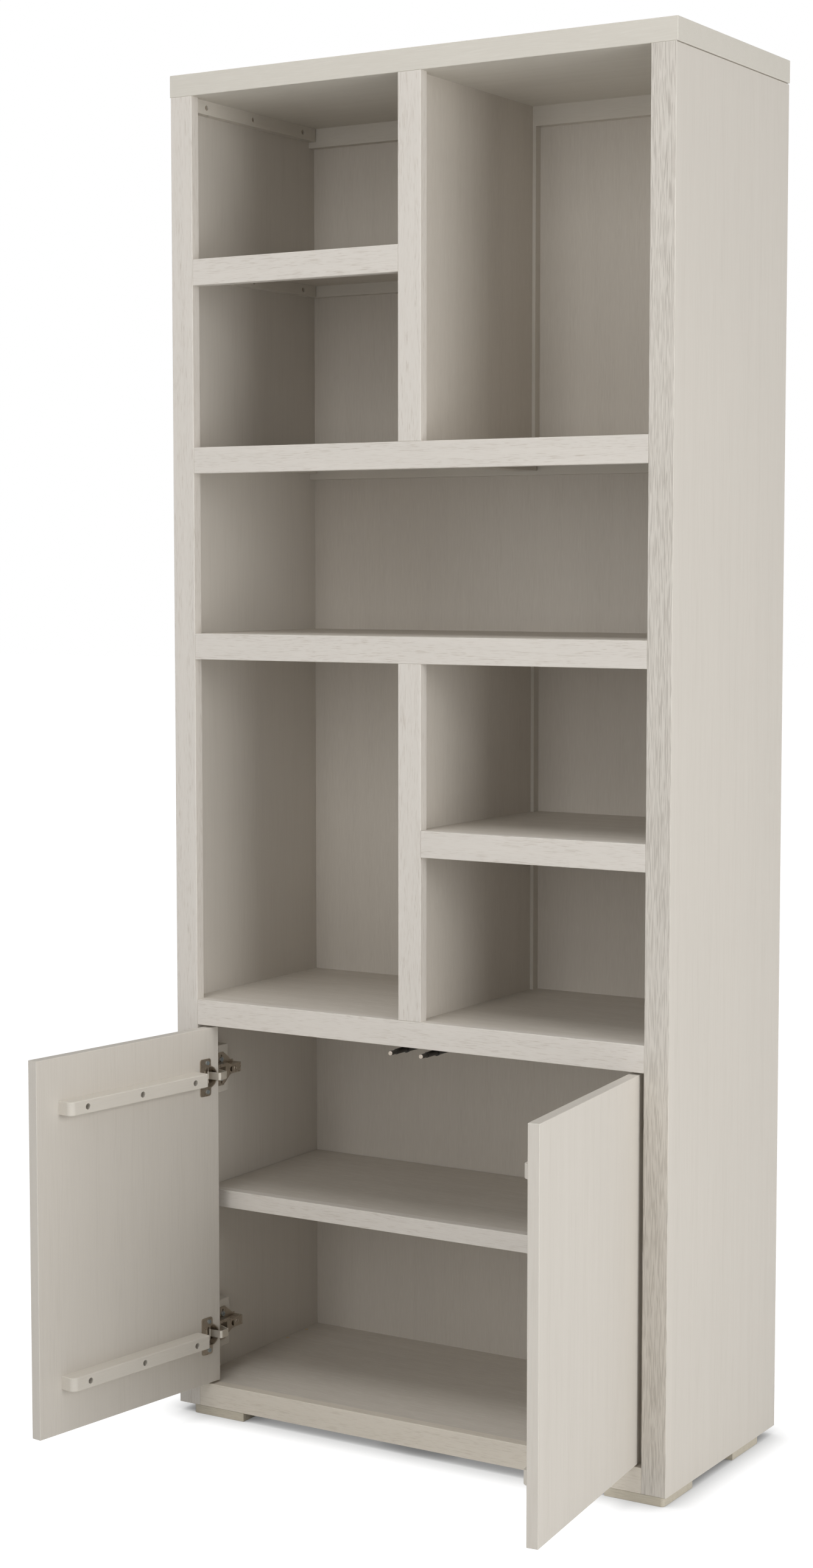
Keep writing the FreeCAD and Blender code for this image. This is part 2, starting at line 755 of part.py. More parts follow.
def latch_plunger():
    """The left latch's stepped plunger, standing out as it does with the door open."""
    x = -latch_from_centre
    start = FreeCAD.Vector(x, plunger_front, latch_level)
    step = FreeCAD.Vector(x, plunger_front + plunger_nose_length, latch_level)
    nose = rod(start, Y_AXIS, plunger_nose_radius, plunger_nose_length)
    body = rod(step, Y_AXIS, plunger_radius, plunger_length)
    socket = rod(start, Y_AXIS, tip_stem_radius + screw_fit, tip_stem_length + screw_fit)
    return nose.fuse(body).removeSplitter().cut(socket)


def latch_tip():
    """The pale tip on the left plunger."""
    start = FreeCAD.Vector(-latch_from_centre, tip_front, latch_level)
    head = rod(start, Y_AXIS, tip_radius, tip_thick)
    edge = [e for e in head.Edges if len(e.Vertexes) == 1 and e.CenterOfMass.y < tip_front + tip_thick / 2]
    head = head.makeFillet(tip_thick / 2, edge)
    stem = rod(start + Y_AXIS * tip_thick, Y_AXIS, tip_stem_radius, tip_stem_length)
    return head.fuse(stem).removeSplitter()


def footprint_shift():
    """How far the pieces move back, so that the origin is in the middle of the outline from front to back."""
    reach = 0
    for angle in (left_open_angle, right_open_angle):
        turn = math.radians(angle)
        for depth in (-axis_from_face, door_thick - axis_from_face):
            corner = (door_width - axis_from_edge) * math.sin(turn) - depth * math.cos(turn)
            reach = max(reach, corner - axis_from_face)
    return (reach - case_depth) / 2


def carcass_nodes():
    """Every piece that stands still."""
    nodes = {}
    left_holes = []
    right_holes = []
    screws = []
    full = {"upper_full_shelf": upper_full_level, "middle_shelf": middle_level,
            "cabinet_top": cabinet_top_level}
    for name, level in full.items():
        panel, edge, cleats, made, left, right = full_shelf(level)
        nodes[name + "_panel"] = [panel]
        nodes[name + "_lipping"] = [edge]
        nodes[name + "_cleats"] = cleats
        screws += made
        left_holes += left
        right_holes += right
    panel, edge, cleats, made, left, upper_holes = half_shelf(upper_half_level, -1)
    nodes["upper_half_shelf_panel"] = [panel]
    nodes["upper_half_shelf_lipping"] = [edge]
    nodes["upper_half_shelf_cleats"] = cleats
    screws += made
    left_holes += left
    panel, edge, cleats, made, right, lower_holes = half_shelf(lower_half_level, 1)
    nodes["lower_half_shelf_panel"] = [panel]
    nodes["lower_half_shelf_lipping"] = [edge]
    nodes["lower_half_shelf_cleats"] = cleats
    screws += made
    right_holes += right
    nodes["upper_full_shelf_cleats"].append(centre_batten(upper_full_level, front_thick))
    nodes["cabinet_top_cleats"].append(centre_batten(cabinet_top_level, front_thick + latch_block_depth))

    top_back = side_height - back_cleat_height
    upper = divider(upper_full_level + lipping_height, side_height, side_height, top_back)
    middle_under = shelf_underside(middle_level)
    lower = divider(cabinet_top_level + lipping_height, middle_level, middle_under,
                    middle_under - back_cleat_height)
    nodes["upper_divider_stile"] = [upper[0]]
    nodes["upper_divider_panel"] = [drilled(upper[1], upper_holes)]
    nodes["upper_divider_post"] = [upper[2]]
    nodes["lower_divider_stile"] = [lower[0]]
    nodes["lower_divider_panel"] = [drilled(lower[1], lower_holes)]
    nodes["lower_divider_post"] = [lower[2]]

    top_holes = []
    nodes["top_side_cleats"] = []
    for side, wall_holes in ((-1, left_holes), (1, right_holes)):
        piece, made, holes, up_holes = top_side_cleat(side)
        nodes["top_side_cleats"].append(piece)
        screws += made
        wall_holes += holes
        top_holes += up_holes
    nodes["top_back_cleat"] = [back_cleat(-side_inner, side_inner, side_height, back_cleat_height)]
    nodes["cleat_screws"] = screws

    pins, pin_holes = shelf_pins()
    left_holes += pin_holes
    right_holes += [mirrored(hole) for hole in pin_holes]
    side = block(-half_width, -side_inner, front_thick, case_depth, 0, side_height)
    stile = front_board(-half_width, -stile_inner, 0, front_thick, 0, side_height)
    # A narrow open seam under the top, along the outside of each side and stile.
    seam = block(-half_width - overrun, seam_depth - half_width, arris, case_depth + overrun,
                 side_height - seam_height, side_height + overrun)
    side = side.cut(seam)
    stile = stile.cut(seam)
    top = board(-half_width - top_overhang, half_width + top_overhang, 0, case_depth, side_height,
                side_height + top_thick)
    nodes["side_panel_left"] = [drilled(side, left_holes)]
    nodes["side_panel_right"] = [drilled(mirrored(side), right_holes)]
    nodes["front_stile_left"] = [stile]
    nodes["front_stile_right"] = [mirrored(stile)]
    nodes["top_board"] = [drilled(top, top_holes)]
    nodes["back_panel"] = [block(-side_inner, side_inner, back_front, back_front + back_thick,
                                 0, side_height)]
    nodes["bottom_panel"] = [block(-side_inner, side_inner, front_thick, back_front,
                                   rail_height - bottom_thick, rail_height)]
    nodes["bottom_rail"] = [front_board(-stile_inner, stile_inner, 0, front_thick, 0, rail_height)]
    nodes["base_bearers"] = base_bearers()
    nodes["feet"] = feet()

    shelf_end = side_inner - loose_shelf_gap
    lipping_end = loose_shelf_front + front_thick
    nodes["cabinet_shelf_panel"] = [block(-shelf_end, shelf_end, lipping_end, back_front - loose_shelf_gap,
                                          loose_shelf_under, loose_shelf_top)]
    nodes["cabinet_shelf_lipping"] = [front_board(-shelf_end, shelf_end, loose_shelf_front, lipping_end,
                                                  loose_shelf_top - loose_lipping_height, loose_shelf_top)]
    nodes["shelf_pins"] = pins

    nodes["hinge_blocks"] = hinge_row(hinge_block)
    nodes["hinge_plates"] = hinge_row(hinge_plate)
    nodes["hinge_arms"] = hinge_row(hinge_arm)
    nodes["hinge_links"] = hinge_row(hinge_link)
    nodes["hinge_pins"] = hinge_row(hinge_pin)
    nodes["hinge_screws"] = hinge_row(hinge_screws)

    holes = latch_holes()
    holes += [mirrored(hole) for hole in holes]
    latch_half = latch_block_width / 2
    piece = block(-latch_half, latch_half, front_thick, front_thick + latch_block_depth,
                  cabinet_top_level, shelf_underside(cabinet_top_level))
    nodes["latch_block"] = [drilled(piece, holes)]
    nodes["latch_housings"] = both_sides(latch_housing())
    nodes["latch_screws"] = []
    for seat in latch_seats():
        nodes["latch_screws"] += both_sides(screw(seat, Z_AXIS, latch_screw, latch_plate_thick + latch_bite))
    return nodes


def moving_nodes():
    """Every piece that moves, in the pose with both doors open."""
    nodes = {}
    panel, battens, cups, pins, screws = closed_door()
    for name, side, angle in (("left", -1, left_open_angle), ("right", 1, right_open_angle)):
        nodes["door_panel_" + name] = opened([panel], side, angle)
        nodes["door_battens_" + name] = opened(battens, side, angle)
        nodes["hinge_cups_" + name] = opened(cups, side, angle)
        nodes["hinge_cup_pins_" + name] = opened(pins, side, angle)
        nodes["door_screws_" + name] = opened(screws, side, angle)
        plunger = latch_plunger()
        tip = latch_tip()
        nodes["latch_plunger_" + name] = [plunger if side < 0 else mirrored(plunger)]
        nodes["latch_tip_" + name] = [tip if side < 0 else mirrored(tip)]
    return nodes


def main():
    """Build every node, move it to the shared frame and write it out."""
    os.makedirs("parts", exist_ok=True)
    shift = FreeCAD.Vector(0, footprint_shift(), foot_height)
    nodes = carcass_nodes()
    nodes.update(moving_nodes())
    for name, shapes in nodes.items():
        shape = shapes[0] if len(shapes) == 1 else Part.makeCompound(shapes)
        shape.translate(shift)
        shape.exportStep("parts/" + name + ".step")
    print(len(nodes), "nodes, front faces at y =", shift.y)


main()
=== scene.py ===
import logging
import math
from dataclasses import dataclass
from enum import Enum
from typing import Any, Sequence

import bmesh
import bpy
from mathutils import Euler, Matrix, Vector


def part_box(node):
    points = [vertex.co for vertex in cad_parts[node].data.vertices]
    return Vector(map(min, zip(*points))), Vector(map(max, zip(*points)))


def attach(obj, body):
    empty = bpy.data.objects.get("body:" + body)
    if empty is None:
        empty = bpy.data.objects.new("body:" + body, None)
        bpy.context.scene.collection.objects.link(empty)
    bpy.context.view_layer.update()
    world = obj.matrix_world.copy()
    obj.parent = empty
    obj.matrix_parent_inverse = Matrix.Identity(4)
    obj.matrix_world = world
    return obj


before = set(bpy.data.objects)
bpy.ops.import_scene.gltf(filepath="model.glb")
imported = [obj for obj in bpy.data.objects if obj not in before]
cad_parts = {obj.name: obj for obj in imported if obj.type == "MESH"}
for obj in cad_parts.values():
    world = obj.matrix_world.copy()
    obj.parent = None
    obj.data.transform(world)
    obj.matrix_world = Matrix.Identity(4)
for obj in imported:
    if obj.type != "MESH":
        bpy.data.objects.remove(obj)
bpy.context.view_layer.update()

LOG = logging.getLogger("bookcase")
MM = 0.001
# Nearly all values of a noise lie between these two.
NOISE_LOW = 0.3
NOISE_HIGH = 0.7
# A Mix node repeats the names of its sockets, so those for colour go by number.
MIX_SHARE = 0
MIX_UNDER = 6
MIX_OVER = 7
MIX_RESULT = 2


def linear(colour: str) -> tuple[float, float, float, float]:
    """Turn an sRGB hex colour into the linear colour that the shaders take.

    Args:
        colour: the colour as "#RRGGBB".

    Returns:
        Linear red, green and blue, with an alpha of one.
    """
    channels = [int(colour[start:start + 2], 16) / 255 for start in (1, 3, 5)]
    red, green, blue = [
        value / 12.92 if value <= 0.04045 else ((value + 0.055) / 1.055) ** 2.4 for value in channels
    ]
    return red, green, blue, 1.0


def add_node(
    tree: bpy.types.NodeTree,
    kind: str,
    settings: dict[str, Any] | None = None,
    inputs: dict[str | int, Any] | None = None,
) -> bpy.types.Node:
    """Add a shader node, set its options and fill its inputs.

    Args:
        tree: the node tree that gets the node.
        kind: the node's type, without the leading "ShaderNode".
        settings: option names and their values.
        inputs: input names or numbers, each with a plain value or an output to link from.

    Returns:
        The new node.
    """
    node = tree.nodes.new("ShaderNode" + kind)
    for name, value in (settings or {}).items():
        setattr(node, name, value)
    for key, value in (inputs or {}).items():
        if isinstance(value, bpy.types.NodeSocket):
            tree.links.new(value, node.inputs[key])
        else:
            node.inputs[key].default_value = value
    return node


def new_material(name: str) -> tuple[bpy.types.Material, bpy.types.NodeTree, bpy.types.Node]:
    """Start a material with an empty tree and its output.

    Args:
        name: the material's name.

    Returns:
        The material, its node tree and the output node.
    """
    material = bpy.data.materials.new(name)
    material.use_nodes = True
    material.node_tree.nodes.clear()
    return material, material.node_tree, add_node(material.node_tree, "OutputMaterial")


def dress(names: Sequence[str], material: bpy.types.Material) -> None:
    """Give a material to CAD nodes.

    Args:
        names: the nodes' names.
        material: what they are dressed in.
    """
    for name in names:
        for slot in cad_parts[name].material_slots:
            slot.material = material
        LOG.info("dressed %s in %s", name, material.name)


def turned_piece(
    name: str, profile_mm: Sequence[tuple[float, float]], places: Sequence[Matrix], body: str,
    material: bpy.types.Material, steps: int = 28,
) -> bpy.types.Object:
    """Turn a profile about its axis, once at each place, as one piece.

    Args:
        name: the piece's name.
        profile_mm: pairs of radius and height from the foot of the profile to its tip.
        places: where each copy stands, with the axis along the place's own Z, in metres.
        body: the body that carries the piece.
        material: what the piece is dressed in.
        steps: corners in a full turn.

    Returns:
        The new piece.
    """
    shape = bmesh.new()
    for place in places:
        rings = []
        for radius, height in profile_mm:
            corners = range(steps) if radius > 0 else range(1)
            rings.append([
                shape.verts.new(place @ Vector((
                    radius * MM * math.cos(math.tau * corner / steps),
                    radius * MM * math.sin(math.tau * corner / steps),
                    height * MM,
                )))
                for corner in corners
            ])
        for low, high in zip(rings, rings[1:]):
            for corner in range(steps):
                following = (corner + 1) % steps
                loop = [low[corner % len(low)], low[following % len(low)],
                        high[following % len(high)], high[corner % len(high)]]
                shape.faces.new(list(dict.fromkeys(loop)))
    bmesh.ops.recalc_face_normals(shape, faces=shape.faces)
    mesh = bpy.data.meshes.new(name)
    shape.to_mesh(mesh)
    shape.free()
    mesh.polygons.foreach_set("use_smooth", [True] * len(mesh.polygons))
    mesh.materials.append(material)
    piece = bpy.data.objects.new(name, mesh)
    bpy.context.scene.collection.objects.link(piece)
    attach(piece, body)
    LOG.info("built %s on %s", name, body)
    return piece


class Grain(Enum):
    """The way a board's grain runs, as the turn in degrees that lays it along the pattern."""

    ACROSS = (0.0, 0.0, 0.0)
    DEPTH = (0.0, 0.0, -90.0)
    UPRIGHT = (0.0, 90.0, 0.0)


@dataclass(frozen=True)
class LimedOak:
    """Oak or oak veneer under a pale grey, limed satin lacquer.

    The lacquer gives an even, warm pale grey. Brushing opens the pores, which show as fine
    darker dashes along the grain, the liming stays in others as paler dashes, and a few wider
    veins show the brown of the wood. Pores are about 0.3 mm wide, too fine for the picture, so
    they are drawn 1 to 2 mm wide.
    """

    name: str
    flat: str
    pore: str
    lime: str
    vein: str = "#97826F"
    pore_depth: float = 0.3
    pore_edge: tuple[float, float] = (0.5, 0.66)
    pore_spread: float = 0.3
    gather_edge: tuple[float, float] = (0.4, 0.6)
    face_only: bool = False
    lime_depth: float = 0.3
    lime_edge: tuple[float, float] = (0.46, 0.3)
    vein_depth: float = 0.0
    vein_edge: tuple[float, float] = (0.6, 0.7)
    dash_mm: tuple[float, float] = (40.0, 1.6)
    vein_mm: tuple[float, float] = (55.0, 3.0)
    band_mm: tuple[float, float] = (420.0, 9.0)
    cloud_mm: tuple[float, float] = (500.0, 140.0)
    wave_mm: tuple[float, float] = (260.0, 55.0)
    wander_mm: float = 6.0
    board_shift_mm: tuple[float, float, float] = (2900.0, 710.0, 530.0)
    fine_share: float = 0.55
    band_tone: float = 0.015
    board_tone: float = 0.015
    relief_mm: float = 0.2
    relief_strength: float = 0.5
    roughness: float = 0.5
    roughness_spread: tuple[float, float] = (0.05, 0.07)
    ior: float = 1.48

    def make(self, grain: Grain, turn: float = 0.0) -> bpy.types.Material:
        """Make the finish for one grain direction, or return the one already made.

        Args:
            grain: the way the grain runs with the piece in its closed or fixed place.
            turn: degrees about the upright axis that bring an opened piece back to that place.

        Returns:
            The material.
        """
        name = f"{self.name}_{grain.name.lower()}" + (f"_{turn:.0f}" if turn else "")
        if name in bpy.data.materials:
            return bpy.data.materials[name]
        material, tree, output = new_material(name)
        coordinates = add_node(tree, "TexCoord")
        spin = Euler([math.radians(angle) for angle in grain.value]).to_matrix()
        spin = spin @ Matrix.Rotation(math.radians(turn), 3, "Z")
        along = add_node(
            tree, "Mapping", {}, {
                "Vector": coordinates.outputs["Object"],
                "Rotation": spin.to_euler(),
                "Scale": (1 / MM, 1 / MM, 1 / MM),
            })
        clouds, bands, dashes, veins = self.draw_figure(tree, along.outputs["Vector"])
        pores, open_veins = self.draw_pores(tree, coordinates.outputs["Normal"], bands, dashes, veins)
        limed = add_node(
            tree, "MapRange", {"interpolation_type": "SMOOTHSTEP"}, {
                "Value": dashes.outputs["Fac"], "From Min": self.lime_edge[0], "From Max": self.lime_edge[1],
                "To Max": self.lime_depth,
            })
        colour = linear(self.flat)
        covers = ((limed.outputs["Result"], self.lime), (pores, self.pore), (open_veins, self.vein))
        for cover, paint in covers:
            layer = add_node(
                tree, "Mix", {"data_type": "RGBA"},
                {MIX_SHARE: cover, MIX_UNDER: colour, MIX_OVER: linear(paint)})
            colour = layer.outputs[MIX_RESULT]
        shades = []
        for noise, swing in ((bands, -self.band_tone), (clouds, self.board_tone)):
            shades.append(add_node(
                tree, "MapRange", {}, {
                    "Value": noise.outputs["Fac"], "From Min": NOISE_LOW, "From Max": NOISE_HIGH,
                    "To Min": 1 - swing, "To Max": 1 + swing,
                }))
        tone = add_node(
            tree, "Math", {"operation": "MULTIPLY"},
            {0: shades[0].outputs["Result"], 1: shades[1].outputs["Result"]})
        toned = add_node(tree, "HueSaturation", {}, {"Color": colour, "Value": tone.outputs["Value"]})
        sheen = add_node(
            tree, "MapRange", {}, {
                "Value": bands.outputs["Fac"], "From Min": NOISE_LOW, "From Max": NOISE_HIGH,
                "To Min": self.roughness - self.roughness_spread[0],
                "To Max": self.roughness + self.roughness_spread[1],
            })
        opened = add_node(tree, "Math", {"operation": "ADD"}, {0: pores, 1: open_veins})
        sunk = add_node(tree, "Math", {"operation": "SUBTRACT"}, {0: 1.0, 1: opened.outputs["Value"]})
        relief = add_node(
            tree, "Bump", {}, {
                "Height": sunk.outputs["Value"], "Distance": self.relief_mm * MM,
                "Strength": self.relief_strength,
            })
        shader = add_node(
            tree, "BsdfPrincipled", {}, {
                "Base Color": toned.outputs["Color"],
                "Roughness": sheen.outputs["Result"],
                "IOR": self.ior,
                "Normal": relief.outputs["Normal"],
            })
        tree.links.new(shader.outputs["BSDF"], output.inputs["Surface"])
        return material

    def draw_pores(
        self, tree: bpy.types.NodeTree, facing: bpy.types.NodeSocket, bands: bpy.types.Node,
        dashes: bpy.types.Node, veins: bpy.types.Node,
    ) -> tuple[bpy.types.NodeSocket, bpy.types.NodeSocket]:
        """Draw where the pores and the brown veins lie open.

        Args:
            tree: the material's tree.
            facing: the way the surface faces.
            bands: the noise of the year bands, in which the pores gather.
            dashes: the noise of the pore dashes.
            veins: the noise of the brown veins.

        Returns:
            How far the pores are open, and how far the veins are.
        """
        gather = add_node(
            tree, "MapRange", {}, {
                "Value": bands.outputs["Fac"],
                "From Min": self.gather_edge[0], "From Max": self.gather_edge[1],
                "To Min": self.pore_spread, "To Max": 1.0,
            })
        openings = []
        kinds = ((dashes, self.pore_edge, self.pore_depth), (veins, self.vein_edge, self.vein_depth))
        for noise, (shut, full), depth in kinds:
            sharp = add_node(
                tree, "MapRange", {"interpolation_type": "SMOOTHSTEP"},
                {"Value": noise.outputs["Fac"], "From Min": shut, "From Max": full, "To Max": depth})
            opening = add_node(
                tree, "Math", {"operation": "MULTIPLY"},
                {0: sharp.outputs["Result"], 1: gather.outputs["Result"]})
            openings.append(opening.outputs["Value"])
        pores, open_veins = openings
        if self.face_only:
            front = add_node(
                tree, "VectorMath", {"operation": "DOT_PRODUCT"}, {0: facing, 1: (0.0, -1.0, 0.0)})
            masked = add_node(
                tree, "Math", {"operation": "MULTIPLY", "use_clamp": True},
                {0: pores, 1: front.outputs["Value"]})
            pores = masked.outputs["Value"]
        return pores, open_veins

    def draw_figure(
        self, tree: bpy.types.NodeTree, place: bpy.types.NodeSocket,
    ) -> list[bpy.types.Node]:
        """Draw the figure of the wood as noises stretched along the grain.

        Args:
            tree: the material's tree.
            place: the place on the board in millimetres, grain along X.

        Returns:
            The noises of the clouds, the year bands, the pore dashes and the brown veins.
        """
        chance = add_node(tree, "ObjectInfo")
        board = add_node(
            tree, "VectorMath", {"operation": "MULTIPLY_ADD"},
            {0: chance.outputs["Random"], 1: self.board_shift_mm, 2: place})
        place = board.outputs["Vector"]
        noises = []
        # The first noise bends the place at which the others are drawn.
        layers = ((self.wave_mm, 2.0), (self.cloud_mm, 2.0), (self.band_mm, 3.0), (self.dash_mm, 1.0),
                  (self.vein_mm, 2.0))
        for (length, width), detail in layers:
            stretched = add_node(
                tree, "VectorMath", {"operation": "MULTIPLY"},
                {0: place, 1: (1 / length, 1 / width, 1 / width)})
            noises.append(add_node(
                tree, "TexNoise", {}, {
                    "Vector": stretched.outputs["Vector"], "Scale": 1.0,
                    "Detail": detail, "Roughness": self.fine_share,
                }))
            if len(noises) == 1:
                wavy = add_node(
                    tree, "VectorMath", {"operation": "MULTIPLY_ADD"},
                    {0: noises[0].outputs["Color"], 1: (0.0, self.wander_mm, self.wander_mm), 2: place})
                place = wavy.outputs["Vector"]
        return noises[1:]


@dataclass(frozen=True)
class PlatedSteel:
    """Pressed or turned steel with a bright plating, a little uneven in tone and gloss."""

    name: str
    colour: str
    stain: str
    roughness: float
    grain_mm: float = 1.6
    patch_ratio: float = 4.0
    fine_share: float = 0.5
    roughness_spread: tuple[float, float] = (0.05, 0.08)
    relief_mm: float = 0.1
    relief_strength: float = 0.15

    def make(self) -> bpy.types.Material:
        """Make the finish, or return the one already made.

        Returns:
            The material.
        """
        if self.name in bpy.data.materials:
            return bpy.data.materials[self.name]
        material, tree, output = new_material(self.name)
        coordinates = add_node(tree, "TexCoord")
        drawn = add_node(
            tree, "TexNoise", {}, {
                "Vector": coordinates.outputs["Object"], "Scale": 1 / (self.grain_mm * MM),
                "Detail": 2.0, "Roughness": self.fine_share,
            })
        patches = add_node(
            tree, "TexNoise", {}, {
                "Vector": coordinates.outputs["Object"],
                "Scale": 1 / (self.patch_ratio * self.grain_mm * MM), "Detail": 1.0,
            })
        tint = add_node(
            tree, "Mix", {"data_type": "RGBA"},
            {MIX_SHARE: patches.outputs["Fac"], MIX_UNDER: linear(self.colour), MIX_OVER: linear(self.stain)})
        gloss = add_node(
            tree, "MapRange", {}, {
                "Value": drawn.outputs["Fac"], "From Min": NOISE_LOW, "From Max": NOISE_HIGH,
                "To Min": self.roughness - self.roughness_spread[0],
                "To Max": self.roughness + self.roughness_spread[1],
            })
        relief = add_node(
            tree, "Bump", {}, {
                "Height": drawn.outputs["Fac"], "Distance": self.relief_mm * MM,
                "Strength": self.relief_strength,
            })
        shader = add_node(
            tree, "BsdfPrincipled", {}, {
                "Base Color": tint.outputs[MIX_RESULT], "Metallic": 1.0,
                "Roughness": gloss.outputs["Result"], "Normal": relief.outputs["Normal"],
            })
        tree.links.new(shader.outputs["BSDF"], output.inputs["Surface"])
        return material


@dataclass(frozen=True)
class MouldedPlastic:
    """Moulded plastic, filler or sprayed lacquer with a fine grained surface."""

    name: str
    colour: str
    worn: str
    roughness: float
    ior: float
    texture_mm: float = 0.9
    roughness_spread: tuple[float, float] = (0.06, 0.08)
    relief_mm: float = 0.06
    relief_strength: float = 0.3

    def make(self) -> bpy.types.Material:
        """Make the finish, or return the one already made.

        Returns:
            The material.
        """
        if self.name in bpy.data.materials:
            return bpy.data.materials[self.name]
        material, tree, output = new_material(self.name)
        coordinates = add_node(tree, "TexCoord")
        spark = add_node(
            tree, "TexNoise", {}, {
                "Vector": coordinates.outputs["Object"], "Scale": 1 / (self.texture_mm * MM), "Detail": 3.0,
            })
        tint = add_node(
            tree, "Mix", {"data_type": "RGBA"},
            {MIX_SHARE: spark.outputs["Fac"], MIX_UNDER: linear(self.colour), MIX_OVER: linear(self.worn)})
        gloss = add_node(
            tree, "MapRange", {}, {
                "Value": spark.outputs["Fac"], "From Min": NOISE_LOW, "From Max": NOISE_HIGH,
                "To Min": self.roughness - self.roughness_spread[0],
                "To Max": self.roughness + self.roughness_spread[1],
            })
        relief = add_node(
            tree, "Bump", {}, {
                "Height": spark.outputs["Fac"], "Distance": self.relief_mm * MM,
                "Strength": self.relief_strength,
            })
        shader = add_node(
            tree, "BsdfPrincipled", {}, {
                "Base Color": tint.outputs[MIX_RESULT], "Roughness": gloss.outputs["Result"],
                "IOR": self.ior, "Normal": relief.outputs["Normal"],
            })
        tree.links.new(shader.outputs["BSDF"], output.inputs["Surface"])
        return material


# Solid oak, wire brushed on its face: open pores in dense fine lines along the grain.
BRUSHED_STILE = LimedOak(
    "oak_wire_brushed_limed", "#CFC9C0", "#8D847A", "#D9D4CC", pore_depth=0.44, pore_edge=(0.46, 0.6),
    pore_spread=0.75, face_only=True, lime_depth=0.2, dash_mm=(36.0, 1.1), band_mm=(400.0, 14.0),
    wander_mm=7.0, relief_mm=0.1, roughness=0.56)
# The same oak on the shelf edges and the other stiles, sawn flat: faint fine pores, a few brown veins.
BRUSHED_EDGE = LimedOak(
    "oak_flat_sawn_limed", "#D6D0C8", "#A99C8D", "#DBD7D0", pore_depth=0.22, pore_edge=(0.53, 0.63),
    lime_depth=0.15, vein_depth=0.24, dash_mm=(24.0, 1.1), vein_mm=(24.0, 1.1), band_mm=(260.0, 11.0),
    wander_mm=14.0, relief_mm=0.1)
# The base rail in the same oak, its colours made warmer as painted warm light bounced from the floor, with
# short fine pores.
PAINTED_BOUNCE_RAIL = LimedOak(
    "oak_rail_limed_painted_bounce", "#D9D1C4", "#AFA18F", "#DFD8CD", pore_depth=0.28, pore_edge=(0.54, 0.64),
    lime_depth=0.2, dash_mm=(20.0, 1.1), band_mm=(300.0, 12.0), wander_mm=8.0, relief_mm=0.12)
# Veneered board, sanded and lacquered: almost even, with thin long grain lines.
SANDED_VENEER = LimedOak(
    "oak_veneer_sanded_lacquered", "#CFC9C0", "#BAB3A8", "#D5D0C7", pore_depth=0.16, lime_depth=0.15,
    dash_mm=(90.0, 1.7), band_mm=(900.0, 20.0), wander_mm=10.0, band_tone=0.004, board_tone=0.01,
    relief_mm=0.06, roughness=0.48)
# The top from the same veneer with more liming left in it, so pale streaks show on its underside.
LIMED_TOP = LimedOak(
    "oak_veneer_limed_top", "#D0CBC1", "#BAB3A8", "#DAD6CD", pore_depth=0.12, lime_depth=0.25,
    dash_mm=(50.0, 1.5), band_mm=(700.0, 18.0), wander_mm=22.0, band_tone=0.004, relief_mm=0.06,
    roughness=0.48)
# Thin upright inner panels: short pale dashes of liming on a slightly deeper grey.
INNER_VENEER = LimedOak(
    "oak_veneer_limed_inner", "#CEC7BD", "#B5ADA1", "#D9D4CA", pore_depth=0.14, lime_depth=0.22,
    dash_mm=(26.0, 1.4), band_mm=(420.0, 16.0), band_tone=0.008, relief_mm=0.06)
# Shelf and cabinet floors: more liming wiped along the grain, so fine pale lines show from above.
LIMED_SHELF = LimedOak(
    "oak_veneer_limed_shelf", "#CCC5BB", "#B3AB9F", "#DEDAD1", pore_depth=0.15, lime_depth=0.5,
    dash_mm=(34.0, 1.2), band_mm=(420.0, 16.0), wander_mm=12.0, band_tone=0.008, relief_mm=0.06)
# Poplar fittings sprayed with the same lacquer: smooth, with next to no figure.
SPRAYED_POPLAR = LimedOak(
    "poplar_sprayed_lacquer", "#D1CBC1", "#C4BDB1", "#D8D3CA", pore_depth=0.16, lime_depth=0.12,
    dash_mm=(30.0, 2.0), band_mm=(300.0, 24.0), band_tone=0.005, relief_mm=0.05)
# The same poplar on the feet, rubbed by floors: browner, with open grain.
WORN_FOOT = LimedOak(
    "poplar_sprayed_worn", "#BFB7A7", "#90887A", "#CEC8BB", pore_depth=0.3, lime_depth=0.3,
    dash_mm=(18.0, 1.6), band_mm=(120.0, 10.0), board_tone=0.03, relief_mm=0.1, roughness=0.58)
# Nickel plate on pressed steel: a warm grey mirror, dulled by the pressing.
NICKEL_PLATE = PlatedSteel("nickel_plated_pressed_steel", "#C6BDB1", "#B8AEA1", 0.3, 6.0)
# Nickel plate on the links, rougher for a satin look, in broad patches of tone; its colour is paler than the
# other nickel as a painted highlight where the links face the light.
NICKEL_PAINTED_HIGHLIGHT = PlatedSteel("nickel_plated_steel_painted_highlight", "#EEE9E0", "#E0DACF", 0.58, 6.0)
# Clear zinc plate on turned screws: colder and whiter than the nickel.
ZINC_PLATE = PlatedSteel("zinc_plated_turned_steel", "#C8D1D6", "#B4BEC4", 0.34, 4.0)
# Steel screws in the cleats, sprayed over with the cabinet: dull and pale brown.
SPRAYED_STEEL = MouldedPlastic("steel_screws_sprayed_lacquer", "#C3B7A8", "#A39685", 0.5, 1.5, 1.4)
# ABS, moulded black: dull, with a soft highlight along its edges.
BLACK_ABS = MouldedPlastic("abs_moulded_black", "#1D1A17", "#2C2823", 0.36, 1.53)
# Polyacetal, moulded in its own pale colour: slightly waxy and a little soiled.
PALE_ACETAL = MouldedPlastic("polyacetal_moulded_pale", "#CEC3B6", "#BBAFA2", 0.4, 1.48)
# Wood filler pressed into old holes: matt and yellower than the lacquer.
FILLER = MouldedPlastic("wood_filler_pressed_sanded", "#E3CFAE", "#CDB695", 0.7, 1.45, 1.4)


